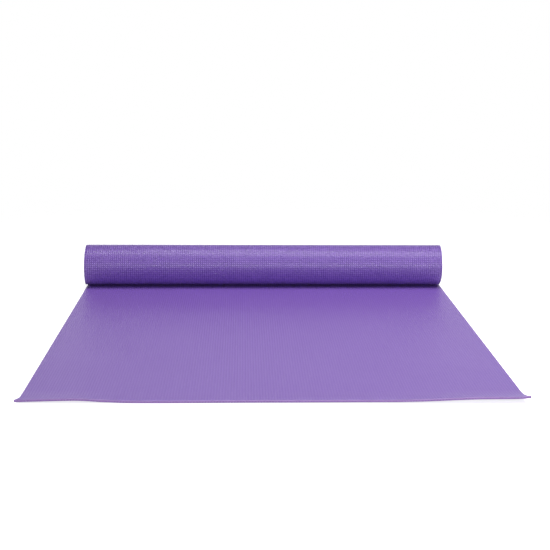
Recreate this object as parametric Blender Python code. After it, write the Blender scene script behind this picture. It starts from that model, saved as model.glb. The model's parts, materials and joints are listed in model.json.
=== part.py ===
# A half-rolled yoga mat: a PVC foam sheet with a polyester net inside, lying on the floor.
# The real sheet bends anywhere. Here it is cut into flat sections, which hinge along the
# sheet's upper face, the inside of the bend when the mat is rolled up.
# X runs across the mat, Y from its free front edge to the roll, and the floor is Z = 0.

import math

import bmesh
import bpy

# Driving sizes, in metres
SHEET_LENGTH = 1.730
SHEET_WIDTH = 0.610
SHEET_THICKNESS = 0.0032
MAIN_LENGTH = 0.067
FRONT_STRIP_LENGTH = 0.028
CORE_RADIUS = 0.008
LAP_GAP = 0.0003
SECTION_GAP = 0.0003
NET_THICKNESS = 0.0003
NET_CLEARANCE = 0.0003
FOAM_EDGE = 0.004

# Counts
FRONT_STRIPS = 4
ROLLING_SECTIONS = 23
SECTIONS_PER_TURN = 12
FACETS_PER_SECTION = 2

SHARP_EDGE = math.radians(45)

# The roll is a spiral of even pitch, with the sheet's upper face inwards. Each lap that it
# takes up has twelve flat sides, one for each section, a little further out than the last.
LAP_PITCH = SHEET_THICKNESS + LAP_GAP
SECTION_ANGLE = math.tau / SECTIONS_PER_TURN
SECTION_GROWTH = LAP_PITCH / SECTIONS_PER_TURN
HALF_SIDE_SHARE = math.tan(SECTION_ANGLE / 2)
CORE_MIDDLE = CORE_RADIUS + SHEET_THICKNESS / 2

# Heights within the sheet, from its lower face
NET_LOW = (SHEET_THICKNESS - NET_THICKNESS) / 2
NET_HIGH = (SHEET_THICKNESS + NET_THICKNESS) / 2
FOAM_LEVELS = (0, NET_LOW - NET_CLEARANCE, NET_HIGH + NET_CLEARANCE, SHEET_THICKNESS)
NET_LEVELS = (NET_LOW, NET_HIGH)


def clear_scene():
    for thing in list(bpy.data.objects):
        bpy.data.objects.remove(thing, do_unlink=True)


def make_material(name, colour, roughness):
    material = bpy.data.materials.new(name)
    material.use_nodes = True
    shader = material.node_tree.nodes["Principled BSDF"]
    shader.inputs["Base Color"].default_value = (*colour, 1)
    shader.inputs["Roughness"].default_value = roughness
    shader.inputs["Metallic"].default_value = 0
    material.diffuse_color = (*colour, 1)
    return material


def solve_roll_middle():
    """The radius of the middle of the roll's outer lap, for which the pieces use up the sheet.

    The flat part is a fixed length and a share of this radius, because the rolling sections
    and the roll's tail grow with the roll. The rolled part is the area between this radius
    and the core's, over the pitch. Together they make a quadratic equation.
    """
    share = HALF_SIDE_SHARE * (1 + 2 * ROLLING_SECTIONS)
    growth = SECTION_GROWTH * HALF_SIDE_SHARE * ROLLING_SECTIONS * (ROLLING_SECTIONS + 1)
    fixed = MAIN_LENGTH + FRONT_STRIPS * FRONT_STRIP_LENGTH + growth
    fixed += SECTION_GROWTH / math.sin(SECTION_ANGLE) - share * SHEET_THICKNESS / 2
    half = share * LAP_PITCH / math.tau
    return math.sqrt(half**2 + CORE_MIDDLE**2 + (SHEET_LENGTH - fixed) * LAP_PITCH / math.pi) - half


ROLL_MIDDLE = solve_roll_middle()
ROLL_RADIUS = ROLL_MIDDLE + SHEET_THICKNESS / 2
ROLL_ANGLE = math.tau * (ROLL_MIDDLE - CORE_MIDDLE) / LAP_PITCH


def face_distance(step):
    """From the roll's axis to the sheet's upper face, so many sections out from the roll."""
    return ROLL_RADIUS - SHEET_THICKNESS + step * SECTION_GROWTH


def section_length(step):
    """The side of the twelve-sided lap that a section makes round the roll."""
    return 2 * face_distance(step) * HALF_SIDE_SHARE


def tail_length():
    """The flat stretch of the roll's own body, from its hinge to the line it rests on."""
    return face_distance(0) * HALF_SIDE_SHARE + SECTION_GROWTH / math.sin(SECTION_ANGLE)


# Places along Y, with the origin under the middle of the whole mat
ROLLING_LENGTH = sum(section_length(step) for step in range(1, ROLLING_SECTIONS + 1))
FRONT_LENGTH = FRONT_STRIPS * FRONT_STRIP_LENGTH
FLAT_LENGTH = FRONT_LENGTH + MAIN_LENGTH + ROLLING_LENGTH + tail_length()
REAR_REACH = ROLL_RADIUS - LAP_PITCH / 4
FRONT_Y = -(FLAT_LENGTH + REAR_REACH) / 2
FRONT_HINGE_Y = FRONT_Y + FRONT_LENGTH
ROLLING_HINGE_Y = FRONT_HINGE_Y + MAIN_LENGTH


def flat_row(y, levels):
    """Points of the flat sheet across its thickness, from the hinge on its upper face."""
    return [(y, level - SHEET_THICKNESS) for level in levels]


def roll_row(angle, levels):
    """Points across the thickness of the rolled sheet, from the roll's hinge."""
    outer = ROLL_RADIUS - LAP_PITCH * angle / math.tau
    points = []
    for level in levels:
        y = tail_length() + (outer - level) * math.sin(angle)
        z = ROLL_RADIUS - SHEET_THICKNESS - (outer - level) * math.cos(angle)
        points.append((y, z))
    return points


def flat_rows(start, end, levels):
    """Both ends of a flat section, short of its neighbours by half the gap each."""
    low, high = sorted((start, end))
    return [flat_row(low + SECTION_GAP / 2, levels), flat_row(high - SECTION_GAP / 2, levels)]


def roll_rows(levels):
    """The roll's tail on the floor and then the spiral, facet by facet, to its inner end."""
    facet = SECTION_ANGLE / FACETS_PER_SECTION
    rows = [flat_row(SECTION_GAP / 2, levels)]
    rows += [roll_row(step * facet, levels) for step in range(math.ceil(ROLL_ANGLE / facet))]
    rows.append(roll_row(ROLL_ANGLE, levels))
    return rows


def add_loop(bm, half_width, low, high):
    """A rectangle across the mat between two points of a row."""
    corners = ((-half_width, low), (half_width, low), (half_width, high), (-half_width, high))
    return [bm.verts.new((x, y, z)) for x, (y, z) in corners]


def join_loops(bm, first, second):
    for side in range(len(first)):
        after = (side + 1) % len(first)
        bm.faces.new((first[side], first[after], second[after], second[side]))


def add_piece(name, bm, material, body):
    bmesh.ops.recalc_face_normals(bm, faces=bm.faces)
    mesh = bpy.data.meshes.new(name)
    bm.to_mesh(mesh)
    bm.free()
    mesh.shade_smooth()
    mesh.set_sharp_from_angle(angle=SHARP_EDGE)
    mesh.materials.append(material)
    piece = bpy.data.objects.new(name, mesh)
    piece.parent = body
    bpy.context.collection.objects.link(piece)


def add_foam(name, rows, material, body):
    """Foam with a thin tunnel for the net, open at both ends and closed at the long edges."""
    bm = bmesh.new()
    skin = [add_loop(bm, SHEET_WIDTH / 2, row[0], row[3]) for row in rows]
    tunnel = [add_loop(bm, SHEET_WIDTH / 2 - FOAM_EDGE, row[1], row[2]) for row in rows]
    for loops in (skin, tunnel):
        for first, second in zip(loops, loops[1:]):
            join_loops(bm, first, second)
    for end in (0, -1):
        join_loops(bm, skin[end], tunnel[end])
    add_piece(name, bm, material, body)


def add_net(name, rows, material, body):
    """The net in its tunnel, clear of the foam all round."""
    bm = bmesh.new()
    half_width = SHEET_WIDTH / 2 - FOAM_EDGE - NET_CLEARANCE
    loops = [add_loop(bm, half_width, row[0], row[1]) for row in rows]
    for first, second in zip(loops, loops[1:]):
        join_loops(bm, first, second)
    for end in (0, -1):
        bm.faces.new(loops[end])
    add_piece(name, bm, material, body)


def add_body(name, y, parent):
    """An empty on a hinge line, at the height of the sheet's upper face. It carries its pieces."""
    body = bpy.data.objects.new(name, None)
    bpy.context.collection.objects.link(body)
    body.parent = parent
    body.location = (0, y - parent.matrix_world.translation.y, 0) if parent else (0, y, SHEET_THICKNESS)
    bpy.context.view_layer.update()
    return body


def add_section(name, start, end, body, foam, net):
    """One flat section between two distances from its hinge."""
    add_foam(f"foam_{name}", flat_rows(start, end, FOAM_LEVELS), foam, body)
    add_net(f"net_{name}", flat_rows(start, end, NET_LEVELS), net, body)


def build_front_strips(main, foam, net):
    """The free end, which curls up: strips from the main stretch to the front edge."""
    body = main
    for number in range(1, FRONT_STRIPS + 1):
        y = FRONT_HINGE_Y - (number - 1) * FRONT_STRIP_LENGTH
        body = add_body(f"hinge_front_{number}", y, body)
        add_section(f"front_{number}", -FRONT_STRIP_LENGTH, 0, body, foam, net)


def build_rolling_sections(main, foam, net):
    """The stretch that the roll takes up as it rolls forwards, and the roll at its end."""
    body = main
    y = ROLLING_HINGE_Y
    for step in range(ROLLING_SECTIONS, 0, -1):
        body = add_body(f"hinge_rolling_{step:02d}", y, body)
        add_section(f"rolling_{step:02d}", 0, section_length(step), body, foam, net)
        y += section_length(step)
    body = add_body("hinge_roll", y, body)
    add_foam("foam_roll", roll_rows(FOAM_LEVELS), foam, body)
    add_net("net_roll", roll_rows(NET_LEVELS), net, body)


def build_mat():
    foam = make_material("violet_pvc_foam", (0.25, 0.15, 0.46), 0.75)
    net = make_material("polyester_net", (0.62, 0.56, 0.72), 0.85)
    main = add_body("mat", 0, None)
    add_section("main", FRONT_HINGE_Y, ROLLING_HINGE_Y, main, foam, net)
    build_front_strips(main, foam, net)
    build_rolling_sections(main, foam, net)


clear_scene()
build_mat()
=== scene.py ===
import json
import math

import bmesh
import bpy
import numpy as np
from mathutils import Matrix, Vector


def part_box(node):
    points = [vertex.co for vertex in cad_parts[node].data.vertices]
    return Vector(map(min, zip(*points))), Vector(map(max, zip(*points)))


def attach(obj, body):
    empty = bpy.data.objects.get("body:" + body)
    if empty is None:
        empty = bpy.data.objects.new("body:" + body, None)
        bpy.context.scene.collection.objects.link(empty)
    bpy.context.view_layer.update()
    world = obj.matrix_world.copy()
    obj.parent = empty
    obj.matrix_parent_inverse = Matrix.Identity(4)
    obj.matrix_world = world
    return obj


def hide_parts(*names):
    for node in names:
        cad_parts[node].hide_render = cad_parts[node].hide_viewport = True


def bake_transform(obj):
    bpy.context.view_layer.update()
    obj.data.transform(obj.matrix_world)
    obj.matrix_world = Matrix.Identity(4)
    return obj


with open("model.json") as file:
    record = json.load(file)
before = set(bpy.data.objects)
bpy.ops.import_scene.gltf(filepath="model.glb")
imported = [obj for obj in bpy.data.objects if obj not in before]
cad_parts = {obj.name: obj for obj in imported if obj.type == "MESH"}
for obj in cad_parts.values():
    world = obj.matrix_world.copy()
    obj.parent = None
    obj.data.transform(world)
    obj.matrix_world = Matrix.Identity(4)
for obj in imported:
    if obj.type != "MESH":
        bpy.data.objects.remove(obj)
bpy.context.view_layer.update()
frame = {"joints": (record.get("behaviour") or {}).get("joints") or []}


# The mat is one sheet of violet PVC foam, cast over a polyester net and cut to length.
# It lies flat from its free front edge to the roll. There it goes under the roll, up behind
# it and over into a tight spiral, with the sheet's upper face inwards.
SHEET_WIDTH = 0.610
SHEET_LENGTH = 1.730
SHEET_THICKNESS = 0.0032
LAP_PITCH = 0.0035

hinge_y = {joint["name"]: joint["pos_m"][1] for joint in frame["joints"]}
front_strip = hinge_y["curl_3"] - hinge_y["curl_4"]
front_y = hinge_y["curl_4"] - front_strip
roll_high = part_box("foam_roll")[1]
roll_radius = (roll_high[2] + LAP_PITCH / 2) / 2
contact_y = roll_high[1] - roll_radius + LAP_PITCH / 4
flat_length = contact_y - front_y

# The free end keeps some curl from its time in the roll, more at the right corner than at
# the left one: places across the mat, and how far the front edge stands up there.
LIFT_PLACES = (-0.310, -0.300, -0.285, -0.271, -0.257, -0.242, -0.232, -0.221, -0.206, -0.190,
               -0.176, -0.147, -0.087, -0.027, 0.033, 0.093, 0.153, 0.182, 0.212, 0.242, 0.262,
               0.282, 0.296, 0.310)
LIFT_HEIGHTS = (0.0016, 0.0016, 0.0021, 0.0025, 0.0029, 0.0032, 0.0032, 0.0026, 0.0016, 0.0009,
                0.0004, 0.0002, 0.0005, 0.0009, 0.0011, 0.0014, 0.0016, 0.0023, 0.0036, 0.0049,
                0.0052, 0.0052, 0.0056, 0.0072)
LIFT_REACH = 0.045

# Its corners are drawn outwards to a point, the left one further.
LEFT_FLARE = 0.0046
RIGHT_FLARE = 0.0033
FLARE_REACH = 0.016
FLARE_POWER = 14

# The roll was wound by hand: a little tighter on the right, and its laps wander sideways.
TAPER = 0.012
WANDER = 0.0009
WANDER_LENGTH = 0.31
WANDER_DRIFT = 0.0012
ROLL_SHIFT = -0.0015

# The outer lap is slack: over the roll's front face, the sheet draws in to the next lap. The
# laps within lie closer by as much in all, so the eye keeps its size.
SLACK = 0.0012
WOUND_LAPS = 7.5
WOUND_PITCH = LAP_PITCH - SLACK / WOUND_LAPS


def stand_up(across, along):
    """How far the front end stands off the floor, and how far its corners draw outwards."""
    height = np.interp(across, LIFT_PLACES, LIFT_HEIGHTS)
    fade = max(0.0, 1 - along / LIFT_REACH) ** 2
    flare = LEFT_FLARE if across < 0 else RIGHT_FLARE
    share = abs(across) / (SHEET_WIDTH / 2)
    draw = math.copysign(flare, across) * share ** FLARE_POWER
    return height * fade, draw * max(0.0, 1 - along / FLARE_REACH) ** 2


def outer_radius(angle):
    """The spiral's outer face, from the roll's axis, at an angle from the line it rests on."""
    share = np.clip((angle - math.pi) / math.pi, 0, 1)
    return roll_radius - WOUND_PITCH * angle / math.tau - SLACK * share * share * (3 - 2 * share)


# How much sheet is wound up at each angle, to a little past the seven and a half laps
TABLE_LAPS = 8.5
TABLE_ROWS = 4000
spiral_angles = np.linspace(0, TABLE_LAPS * math.tau, TABLE_ROWS)
spiral_middles = np.maximum(outer_radius(spiral_angles) - SHEET_THICKNESS / 2, 0)
spiral_steps = (spiral_middles[1:] + spiral_middles[:-1]) / 2 * np.diff(spiral_angles)
spiral_lengths = np.concatenate(([0], np.cumsum(spiral_steps)))


def roll_angle(along):
    """The spiral's angle at a place along the sheet."""
    return float(np.interp(along - flat_length, spiral_lengths, spiral_angles))


def place(across, along, level):
    """Where a point of the sheet lies, given across it, along it and up through it."""
    if along <= flat_length:
        height, draw = stand_up(across, along)
        return across + draw, front_y + along, level + height
    angle = roll_angle(along)
    wound = along - flat_length
    settle = min(1.0, angle / math.pi)
    shrink = 1 - TAPER * settle * (across / SHEET_WIDTH + 0.5)
    outer = float(outer_radius(angle))
    wander = WANDER * math.sin(math.tau * wound / WANDER_LENGTH) + WANDER_DRIFT * wound
    side = settle * (ROLL_SHIFT + wander)
    return (
        across + side,
        contact_y + (outer - level) * math.sin(angle) * shrink,
        (roll_radius - (outer - level) * math.cos(angle)) * shrink,
    )


# The cutter leaves every rim of the sheet slightly rounded. A rounded corner of the outline
# has a point at each of these turns, in degrees.
RIM_ROUNDING = 0.0006
LEAST_ROUNDING = 0.0001
CORNER_TURNS = (0, 30, 60, 90)
SHARP_EDGE = math.radians(50)


def corner_points(across, level, rounding, start):
    """A quarter turn round a corner's centre, from a start angle in degrees."""
    angles = [math.radians(start + turn) for turn in CORNER_TURNS]
    return [(across + rounding * math.cos(a), level + rounding * math.sin(a)) for a in angles]


def sheet_ring(columns, shrink=0.0):
    """The sheet's outline across its width, as (across, level) points, with rounded rims."""
    rounding = max(RIM_ROUNDING - shrink, LEAST_ROUNDING)
    side = SHEET_WIDTH / 2 - shrink - rounding
    low = shrink
    high = SHEET_THICKNESS - shrink
    inner = [column for column in columns if abs(column) < side]
    ring = [(column, low) for column in inner]
    ring += corner_points(side, low + rounding, rounding, -90)
    ring += corner_points(side, high - rounding, rounding, 0)
    ring += [(column, high) for column in reversed(inner)]
    ring += corner_points(-side, high - rounding, rounding, 90)
    ring += corner_points(-side, low + rounding, rounding, 180)
    return ring


def rounded_rows(cut, inwards, columns):
    """The rows that round off a cut end, from the cut inwards."""
    rows = []
    for turn in CORNER_TURNS[:-1]:
        inset = RIM_ROUNDING * (1 - math.cos(math.radians(turn)))
        shrink = RIM_ROUNDING * (1 - math.sin(math.radians(turn)))
        rows.append((cut + inwards * inset, sheet_ring(columns, shrink)))
    return rows


def cap_end(bm, loop):
    """Closes an end in quads, from the lower face's points to the upper face's."""
    side = 2 * len(CORNER_TURNS)
    inner = len(loop) // 2 - side
    low = loop[:inner]
    right = loop[inner:inner + side]
    high = loop[inner + side:2 * inner + side][::-1]
    left = loop[2 * inner + side:]
    for i in range(inner - 1):
        bm.faces.new((low[i], low[i + 1], high[i + 1], high[i]))
    bm.faces.new([low[-1], *right, high[-1]])
    bm.faces.new([high[0], *left, low[0]])


def make_stretch(name, alongs, columns, material, cut_front=False, cut_back=False):
    """A closed stretch of the sheet between two places along it.

    Where an end is a real cut edge, it is rounded. Elsewhere the next stretch carries on.
    Each point keeps its place in the flat sheet, for the relief and the grain.
    """
    rows = [(along, sheet_ring(columns)) for along in alongs]
    if cut_front:
        whole = [row for row in rows if row[0] > alongs[0] + RIM_ROUNDING]
        rows = rounded_rows(alongs[0], 1, columns) + whole
    if cut_back:
        whole = [row for row in rows if row[0] < alongs[-1] - RIM_ROUNDING]
        rows = whole + rounded_rows(alongs[-1], -1, columns)[::-1]
    bm = bmesh.new()
    sheet_place = bm.verts.layers.float_vector.new("sheet_place")
    loops = []
    for along, ring in rows:
        loop = []
        for across, level in ring:
            vert = bm.verts.new(place(across, along, level))
            vert[sheet_place] = (across, along, level)
            loop.append(vert)
        loops.append(loop)
    for first, second in zip(loops, loops[1:]):
        for i in range(len(first)):
            j = (i + 1) % len(first)
            bm.faces.new((first[i], first[j], second[j], second[i]))
    cap_end(bm, loops[0])
    cap_end(bm, loops[-1])
    bmesh.ops.recalc_face_normals(bm, faces=bm.faces)
    mesh = bpy.data.meshes.new(name)
    bm.to_mesh(mesh)
    bm.free()
    mesh.shade_smooth()
    mesh.set_sharp_from_angle(angle=SHARP_EDGE)
    mesh.materials.append(material)
    piece = bpy.data.objects.new(name, mesh)
    bpy.context.collection.objects.link(piece)
    return piece


def lay_stretch(piece, length, *nodes):
    """Hides the CAD nodes that a finished stretch stands for."""
    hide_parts(*nodes)


# The foam follows the square mesh of its net in a relief on both faces: ribs that run along
# the mat, notched where they cross each gap between the yarns. The notches are shallow on the
# upper face. On the underside they are deep, so the ribs are almost rows of separate nubs.
MESH_PITCH = 0.0035

# From its trough at -1 to its crest at 1, the part of the wave that is a rib's flank.
RIB_FLANK = 0.6

# The yarns don't run quite straight: how far they stray, and how often over a metre.
YARN_STRAY = 0.0010
YARN_STRAY_SCALE = 7
YARN_STRAY_DETAIL = 2


def feed(tree, socket, value):
    """Links a node's input to another node's output, or sets it to a number or a colour."""
    if isinstance(value, bpy.types.NodeSocket):
        tree.links.new(value, socket)
    elif isinstance(value, tuple):
        socket.default_value = (*value, 1)
    else:
        socket.default_value = value


def calc(tree, operation, *values, clamp=False):
    """The output of a maths node, fed with other nodes' outputs and plain numbers."""
    node = tree.nodes.new("ShaderNodeMath")
    node.operation = operation
    node.use_clamp = clamp
    for socket, value in zip(node.inputs, values):
        feed(tree, socket, value)
    return node.outputs[0]


def ease(tree, value, start, end, first=0.0, last=1.0):
    """An output that goes smoothly from first to last while a value goes from start to end."""
    node = tree.nodes.new("ShaderNodeMapRange")
    node.interpolation_type = "SMOOTHSTEP"
    tree.links.new(value, node.inputs["Value"])
    node.inputs["From Min"].default_value = start
    node.inputs["From Max"].default_value = end
    node.inputs["To Min"].default_value = first
    node.inputs["To Max"].default_value = last
    return node.outputs["Result"]


def add_noise(tree, place_output, scale, detail):
    """An uneven output, around a half, that varies over the sheet."""
    node = tree.nodes.new("ShaderNodeTexNoise")
    node.inputs["Scale"].default_value = scale
    node.inputs["Detail"].default_value = detail
    tree.links.new(place_output, node.inputs["Vector"])
    return node.outputs["Fac"]


def make_grid_relief():
    """The relief's height at a place on the sheet, from 0 to 1, and an uneven tone per mesh."""
    group = bpy.data.node_groups.new("grid_relief", "ShaderNodeTree")
    interface = group.interface
    interface.new_socket("Place", in_out="INPUT", socket_type="NodeSocketVector")
    interface.new_socket("Pitch", in_out="INPUT", socket_type="NodeSocketFloat")
    interface.new_socket("Crosswise", in_out="INPUT", socket_type="NodeSocketFloat")
    interface.new_socket("Height", in_out="OUTPUT", socket_type="NodeSocketFloat")
    interface.new_socket("Mesh Tone", in_out="OUTPUT", socket_type="NodeSocketFloat")
    inlet = group.nodes.new("NodeGroupInput")
    outlet = group.nodes.new("NodeGroupOutput")

    drift = add_noise(group, inlet.outputs["Place"], YARN_STRAY_SCALE, YARN_STRAY_DETAIL)
    stray = calc(group, "MULTIPLY", calc(group, "SUBTRACT", drift, 0.5), YARN_STRAY)
    split = group.nodes.new("ShaderNodeSeparateXYZ")
    group.links.new(inlet.outputs["Place"], split.inputs[0])
    cells = group.nodes.new("ShaderNodeCombineXYZ")
    ridges = []
    for axis in ("X", "Y"):
        strayed = calc(group, "ADD", split.outputs[axis], stray)
        cell = calc(group, "DIVIDE", strayed, inlet.outputs["Pitch"])
        group.links.new(calc(group, "FLOOR", cell), cells.inputs[axis])
        wave = calc(group, "COSINE", calc(group, "MULTIPLY", cell, math.tau))
        ridges.append(ease(group, wave, -RIB_FLANK, RIB_FLANK))
    lengthwise, crosswise = ridges
    gap = calc(group, "SUBTRACT", 1, crosswise)
    notch = calc(group, "MULTIPLY", gap, inlet.outputs["Crosswise"])
    height = calc(group, "MULTIPLY", lengthwise, calc(group, "SUBTRACT", 1, notch))
    group.links.new(height, outlet.inputs["Height"])

    tone = group.nodes.new("ShaderNodeTexWhiteNoise")
    tone.noise_dimensions = "2D"
    group.links.new(cells.outputs[0], tone.inputs["Vector"])
    group.links.new(tone.outputs["Value"], outlet.inputs["Mesh Tone"])
    return group


grid_relief = make_grid_relief()


# The foam is violet PVC, matt, with closed cells on its two faces and torn ones where it is
# cut. The faces are a little patchy and speckled. Painted shade darkens the pits of the relief,
# a painted highlight lightens the underside's rib crests, and another lightens the upper rim.
# These values are for the whole sheet.
FOAM_IOR = 1.54
FOAM_SHEEN = 0.01
BASE_DARK = (0.206, 0.096, 0.474)
BASE_LIGHT = (0.229, 0.114, 0.507)
# The colour of the painted shade in the pits, and how unevenly it spreads from mesh to mesh
PIT_SHADE_COLOUR = (0.058, 0.014, 0.225)
PIT_SHADE_UNEVENNESS = 0.6
# The colour of a painted highlight on the underside's rib crests
CREST_HIGHLIGHT_COLOUR = (0.310, 0.190, 0.595)
SPECKLE_COLOUR = (0.300, 0.170, 0.560)
SPECKLE_SHARE = 0.26
CUT_COLOUR = (0.255, 0.130, 0.420)
# A painted highlight along the upper rim: its colour, its share, and how far it reaches over the
# face and down the cut
RIM_HIGHLIGHT_COLOUR = (0.400, 0.270, 0.600)
RIM_HIGHLIGHT_SHARE = 0.75
RIM_REACH_OVER_FACE = 0.0018
RIM_REACH_DOWN_CUT = 0.0020
PIT_ROUGHNESS = 0.44
GRAIN_ROUGHNESS = 0.12
GRAIN_HEIGHT = 0.00004
PATCH_HEIGHT = 0.0003

# Each noise's scale and detail
PATCHES = (9, 3)
GRAIN = (900, 3)
SPECKLES = (420, 1)

# These differ between the upper face, given first, and the underside: how deep the notches
# in the ribs are, how dark the painted shade in the pits, how much less rough the crests, and
# how high the relief.
NOTCH_DEPTH = (0.35, 0.80)
PIT_SHADE_DEPTH = (0.05, 0.55)
CREST_ROUGHNESS = (-0.08, -0.32)
RELIEF_HEIGHT = (0.00023, 0.00033)


def mix_colours(tree, factor, first, second):
    """The output of a colour mix, fed with other nodes' outputs and plain colours."""
    node = tree.nodes.new("ShaderNodeMix")
    node.data_type = "RGBA"
    # The node has sockets for numbers and vectors too, so its colours go by their places.
    first_colour, second_colour = node.inputs[6], node.inputs[7]
    tree.links.new(factor, node.inputs["Factor"])
    feed(tree, first_colour, first)
    feed(tree, second_colour, second)
    return node.outputs[2]


def fall_off(tree, distance, reach):
    """1 at no distance, falling evenly to 0 at the reach."""
    return calc(tree, "SUBTRACT", 1, calc(tree, "DIVIDE", distance, reach), clamp=True)


def make_foam(name):
    """Violet PVC foam with relief, torn cut edges, painted pit shade and painted highlights."""
    material = bpy.data.materials.new(name)
    material.use_nodes = True
    tree = material.node_tree
    shader = tree.nodes["Principled BSDF"]
    shader.inputs["IOR"].default_value = FOAM_IOR
    shader.inputs["Specular IOR Level"].default_value = 0.5
    shader.inputs["Sheen Weight"].default_value = FOAM_SHEEN
    shader.inputs["Sheen Roughness"].default_value = 0.5

    flat_place = tree.nodes.new("ShaderNodeAttribute")
    flat_place.attribute_name = "sheet_place"
    vector = flat_place.outputs["Vector"]
    split = tree.nodes.new("ShaderNodeSeparateXYZ")
    tree.links.new(vector, split.inputs[0])
    across, along, level = split.outputs

    # 1 on the two faces, 0 on the cut edges
    below_top = calc(tree, "SUBTRACT", SHEET_THICKNESS, level)
    face = fall_off(tree, calc(tree, "MINIMUM", level, below_top), RIM_ROUNDING / 2)

    # 1 on the underside, 0 on the upper face
    under = fall_off(tree, level, SHEET_THICKNESS)

    # Where the painted highlight on the upper rim lies: 1 along the rim, fading over the face on
    # one side and down the cut on the other
    from_side = calc(tree, "SUBTRACT", SHEET_WIDTH / 2, calc(tree, "ABSOLUTE", across))
    from_end = calc(tree, "MINIMUM", along, calc(tree, "SUBTRACT", SHEET_LENGTH, along))
    over_face = fall_off(tree, calc(tree, "MINIMUM", from_side, from_end), RIM_REACH_OVER_FACE)
    down_cut = fall_off(tree, below_top, RIM_REACH_DOWN_CUT)
    rim_highlight = calc(tree, "MULTIPLY", over_face, down_cut)

    def by_face(upper, lower):
        """A value that goes from the upper face's to the underside's."""
        return calc(tree, "MULTIPLY_ADD", under, lower - upper, upper)

    relief_node = tree.nodes.new("ShaderNodeGroup")
    relief_node.node_tree = grid_relief
    relief_node.inputs["Pitch"].default_value = MESH_PITCH
    tree.links.new(vector, relief_node.inputs["Place"])
    tree.links.new(by_face(*NOTCH_DEPTH), relief_node.inputs["Crosswise"])
    relief = relief_node.outputs["Height"]
    mesh_tone = relief_node.outputs["Mesh Tone"]
    patches = add_noise(tree, vector, *PATCHES)
    grain = add_noise(tree, vector, *GRAIN)
    speckles = add_noise(tree, vector, *SPECKLES)

    raised = calc(tree, "MULTIPLY", relief, face)
    # The underside's crests, where a painted highlight lies
    crest_highlight = calc(tree, "MULTIPLY", raised, under)
    # Painted shade in the pits, deeper on the underside and uneven from mesh to mesh
    pit_shade_unevenness = calc(tree, "MULTIPLY_ADD", mesh_tone, PIT_SHADE_UNEVENNESS, 1 - PIT_SHADE_UNEVENNESS / 2)
    pit_shade_depth = calc(tree, "MULTIPLY", by_face(*PIT_SHADE_DEPTH), pit_shade_unevenness)
    pit_shade_depth = calc(tree, "MULTIPLY", face, pit_shade_depth)
    pit_shade = calc(tree, "MULTIPLY", calc(tree, "SUBTRACT", 1, relief), pit_shade_depth, clamp=True)
    speckled = calc(tree, "MULTIPLY", speckles, SPECKLE_SHARE)

    colour = mix_colours(tree, patches, BASE_DARK, BASE_LIGHT)
    # Painted highlight on the underside's crests
    colour = mix_colours(tree, crest_highlight, colour, CREST_HIGHLIGHT_COLOUR)
    # Painted shade in the pits
    colour = mix_colours(tree, pit_shade, colour, PIT_SHADE_COLOUR)
    colour = mix_colours(tree, speckled, colour, SPECKLE_COLOUR)
    colour = mix_colours(tree, face, CUT_COLOUR, colour)
    # A painted highlight along the upper rim
    colour = mix_colours(tree, calc(tree, "MULTIPLY", rim_highlight, RIM_HIGHLIGHT_SHARE), colour, RIM_HIGHLIGHT_COLOUR)
    tree.links.new(colour, shader.inputs["Base Color"])

    centred_grain = calc(tree, "SUBTRACT", grain, 0.5)
    roughness = calc(tree, "MULTIPLY_ADD", relief, by_face(*CREST_ROUGHNESS), PIT_ROUGHNESS)
    roughness = calc(tree, "MULTIPLY_ADD", centred_grain, GRAIN_ROUGHNESS, roughness)
    tree.links.new(roughness, shader.inputs["Roughness"])

    height = calc(tree, "MULTIPLY", raised, by_face(*RELIEF_HEIGHT))
    height = calc(tree, "ADD", height, calc(tree, "MULTIPLY", grain, GRAIN_HEIGHT))
    height = calc(tree, "ADD", height, calc(tree, "MULTIPLY", patches, PATCH_HEIGHT))
    bump = tree.nodes.new("ShaderNodeBump")
    bump.inputs["Strength"].default_value = 1
    bump.inputs["Distance"].default_value = 1
    tree.links.new(height, bump.inputs["Height"])
    tree.links.new(bump.outputs["Normal"], shader.inputs["Normal"])
    return material


foam = make_foam("violet_pvc_foam")


# The free front end is cut straight, and its rim is rounded by the cutter. The last strip
# stands up a little from the floor, and four stretches behind it each reach across a curl hinge.
EDGE_STEP = 0.0016
FRONT_STEP = 0.0025

# Places across it for the mesh's points, closer together where the corners are drawn out.
FRONT_COLUMN_STEP = 0.010
FRONT_COLUMN_REACH = 0.278
RIM_COLUMNS = (0.286, 0.292, 0.297, 0.301, 0.3035)


def spread(start, end, step):
    """Evenly spaced numbers from start to end, at most a step apart."""
    count = max(1, math.ceil((end - start) / step - 1e-6))
    return [start + (end - start) * i / count for i in range(count + 1)]


front_columns = [-column for column in reversed(RIM_COLUMNS)]
front_columns += spread(-FRONT_COLUMN_REACH, FRONT_COLUMN_REACH, FRONT_COLUMN_STEP)
front_columns += RIM_COLUMNS

half_strip = front_strip / 2
front_edge = make_stretch(
    "front_edge",
    spread(0, half_strip, EDGE_STEP),
    front_columns,
    foam,
    cut_front=True,
)
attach(front_edge, "front_4")
lay_stretch(front_edge, half_strip, "foam_front_4", "net_front_4")

main_length = hinge_y["roll_up_23"] - hinge_y["curl_1"]
front_bodies = ["main", "front_1", "front_2", "front_3", "front_4"]
for number in (4, 3, 2, 1):
    hinge = hinge_y[f"curl_{number}"] - front_y
    end = hinge + (half_strip if number > 1 else main_length / 2)
    bend = make_stretch(
        f"front_bend_{number}",
        spread(hinge - half_strip, end, FRONT_STEP),
        front_columns,
        foam,
    )
    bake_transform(bend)
    stood_for = front_bodies[number - 1]
    lay_stretch(bend, end - hinge + half_strip, f"foam_{stood_for}", f"net_{stood_for}")


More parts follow.
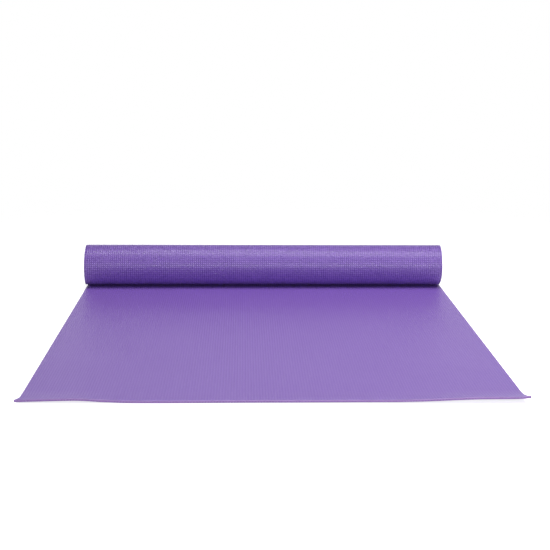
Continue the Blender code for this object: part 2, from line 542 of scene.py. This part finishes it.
# The flat stretch that the roll takes up as it rolls forwards. Each bend goes from the middle
# of one CAD section to the middle of the next.
FLAT_STEP = 0.0024
FLAT_COLUMN_STEP = 0.05
FLAT_COLUMN_REACH = 0.30
ROLLING_HINGES = 24
plain_columns = spread(-FLAT_COLUMN_REACH, FLAT_COLUMN_REACH, FLAT_COLUMN_STEP)

section_bodies = ["roll"]
section_bodies += [f"rolling_{step:02d}" for step in range(1, ROLLING_HINGES)]
section_bodies += ["main"]
hinges = [hinge_y[f"roll_up_{step:02d}"] for step in range(ROLLING_HINGES)]
starts = [(further + nearer) / 2 for further, nearer in zip(hinges[1:], hinges)]
starts.append(hinges[-1] - main_length / 2)
for step in reversed(range(ROLLING_HINGES)):
    start = starts[step]
    end = starts[step - 1] if step else contact_y
    bend = make_stretch(
        f"flat_bend_{step:02d}",
        spread(start - front_y, end - front_y, FLAT_STEP),
        plain_columns,
        foam,
    )
    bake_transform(bend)
    stood_for = section_bodies[step]
    lay_stretch(bend, end - start, f"foam_{stood_for}", f"net_{stood_for}")


# The roll: seven and a half laps of the same sheet, wound tight round a small eye. The mat's
# other end is cut like the front one, and lies at the eye.

# The turn of one facet of the spiral, and how little of the sheet is too short for another.
TURN_STEP = math.radians(6)
SHORTEST_STEP = 0.0005
roll_alongs = [flat_length]
while roll_alongs[-1] < SHEET_LENGTH - SHORTEST_STEP:
    lap_radius = float(outer_radius(roll_angle(roll_alongs[-1]))) - SHEET_THICKNESS / 2
    roll_alongs.append(min(roll_alongs[-1] + lap_radius * TURN_STEP, SHEET_LENGTH))
roll = make_stretch("roll_spiral", roll_alongs, plain_columns, foam, cut_back=True)
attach(roll, "roll")
lay_stretch(roll, SHEET_LENGTH - flat_length, "foam_roll", "net_roll")


# The studio has a white floor that fades into a white room. In reflections, the room is
# dimmer above. The three soft lamps stand a little to the right: one overhead, one low in
# front of the mat and a faint one above that.
FLOOR_RADIUS = 6
FLOOR_SEGMENTS = 96
FLOOR_DROP = 0.0002
FLOOR_COLOUR = (0.92, 0.92, 0.92)
FLOOR_ROUGHNESS = 0.9
FLOOR_SPECULAR = 0.1
FLOOR_FADE_START = 0.55
FLOOR_FADE_END = 1.3
FLOOR_OWN_LIGHT = 0.75


def make_floor():
    """A floor that takes the mat's shadow, and fades out into the white room around it."""
    bm = bmesh.new()
    bmesh.ops.create_circle(bm, cap_ends=True, segments=FLOOR_SEGMENTS, radius=FLOOR_RADIUS)
    mesh = bpy.data.meshes.new("floor")
    bm.to_mesh(mesh)
    bm.free()
    material = bpy.data.materials.new("studio_floor")
    material.use_nodes = True
    tree = material.node_tree
    rays = tree.nodes.new("ShaderNodeLightPath")
    shader = tree.nodes["Principled BSDF"]
    shader.inputs["Base Color"].default_value = (*FLOOR_COLOUR, 1)
    shader.inputs["Roughness"].default_value = FLOOR_ROUGHNESS
    shader.inputs["Specular IOR Level"].default_value = FLOOR_SPECULAR
    shader.inputs["Emission Color"].default_value = (1, 1, 1, 1)
    own_light = calc(tree, "MULTIPLY", rays.outputs["Is Camera Ray"], FLOOR_OWN_LIGHT)
    tree.links.new(own_light, shader.inputs["Emission Strength"])

    where = tree.nodes.new("ShaderNodeTexCoord")
    distance = tree.nodes.new("ShaderNodeVectorMath")
    distance.operation = "LENGTH"
    tree.links.new(where.outputs["Object"], distance.inputs[0])
    clear = tree.nodes.new("ShaderNodeBsdfTransparent")
    both = tree.nodes.new("ShaderNodeMixShader")
    fade = ease(tree, distance.outputs["Value"], FLOOR_FADE_START, FLOOR_FADE_END)
    tree.links.new(fade, both.inputs["Fac"])
    tree.links.new(shader.outputs["BSDF"], both.inputs[1])
    tree.links.new(clear.outputs["BSDF"], both.inputs[2])
    tree.links.new(both.outputs["Shader"], tree.nodes["Material Output"].inputs["Surface"])
    mesh.materials.append(material)
    floor = bpy.data.objects.new("floor", mesh)
    floor.location = (0, 0, -FLOOR_DROP)
    bpy.context.collection.objects.link(floor)


make_floor()

# The room's strength as a light, and the upward share of a direction where its ceiling starts
# to dim in reflections, where it has dimmed, and to what.
ROOM_LIGHT = 0.02
CEILING_START = 0.34
CEILING_END = 0.5
CEILING_STRENGTH = 0.25

world = bpy.data.worlds.new("studio")
bpy.context.scene.world = world
world.use_nodes = True
room = world.node_tree
rays = room.nodes.new("ShaderNodeLightPath")
direction = room.nodes.new("ShaderNodeTexCoord")
direction_split = room.nodes.new("ShaderNodeSeparateXYZ")
room.links.new(direction.outputs["Generated"], direction_split.inputs[0])
upward = direction_split.outputs["Z"]
ceiling = ease(room, upward, CEILING_START, CEILING_END, 1.0, CEILING_STRENGTH)
reflected = calc(room, "MULTIPLY", rays.outputs["Is Glossy Ray"], ceiling)
seen = calc(room, "MAXIMUM", rays.outputs["Is Camera Ray"], reflected)
seen = calc(room, "MAXIMUM", seen, rays.outputs["Is Transmission Ray"])
strength = calc(room, "MULTIPLY_ADD", seen, 1 - ROOM_LIGHT, ROOM_LIGHT)
room.links.new(strength, room.nodes["Background"].inputs["Strength"])
room.nodes["Background"].inputs["Color"].default_value = (1, 1, 1, 1)

# The two lamps in front point straight back along the mat, at the roll's height.
FRONT_AIM = (0.45, 0.31, 0.04)


def add_lamp(name, at, aim, width, depth, energy, turn=0.0):
    """A rectangular area lamp, in metres and watts."""
    data = bpy.data.lights.new(name, "AREA")
    data.shape = "RECTANGLE"
    data.size = width
    data.size_y = depth
    data.energy = energy
    lamp = bpy.data.objects.new(name, data)
    lamp.location = at
    lamp.rotation_euler = (Vector(aim) - Vector(at)).to_track_quat("-Z", "Y").to_euler()
    lamp.rotation_euler.z += turn
    bpy.context.collection.objects.link(lamp)


add_lamp(
    "lamp_overhead",
    at=(0.35, -0.04, 1.5),
    aim=(0.35, -0.04, 0),
    width=1.8,
    depth=0.96,
    energy=26.2,
    turn=math.radians(-25),
)
add_lamp(
    "lamp_front",
    at=(0.45, -2.06, 0.40),
    aim=FRONT_AIM,
    width=1.8,
    depth=0.63,
    energy=18,
)
add_lamp(
    "lamp_upper_front",
    at=(0.45, -1.74, 1.27),
    aim=FRONT_AIM,
    width=1.8,
    depth=1.30,
    energy=4,
)


# The camera stands low in front of the mat's free end and looks down a little. Its shift
# keeps the mat's long edges running as they do in the photograph.
CAMERA_SIDE = -0.0366
CAMERA_DISTANCE = 2.003
CAMERA_HEIGHT = 0.4372
CAMERA_DOWN = 11.755
CAMERA_LENS = 77.28
CAMERA_SHIFT = 0.0593

camera_data = bpy.data.cameras.new("camera")
camera_data.sensor_width = 36
camera_data.lens = CAMERA_LENS
camera_data.shift_x = CAMERA_SHIFT
camera = bpy.data.objects.new("camera", camera_data)
camera.location = (CAMERA_SIDE, contact_y - CAMERA_DISTANCE, CAMERA_HEIGHT)
camera.rotation_euler = (math.radians(90 - CAMERA_DOWN), 0, 0)
bpy.context.collection.objects.link(camera)
bpy.context.scene.camera = camera
bpy.context.scene.view_settings.view_transform = "Standard"
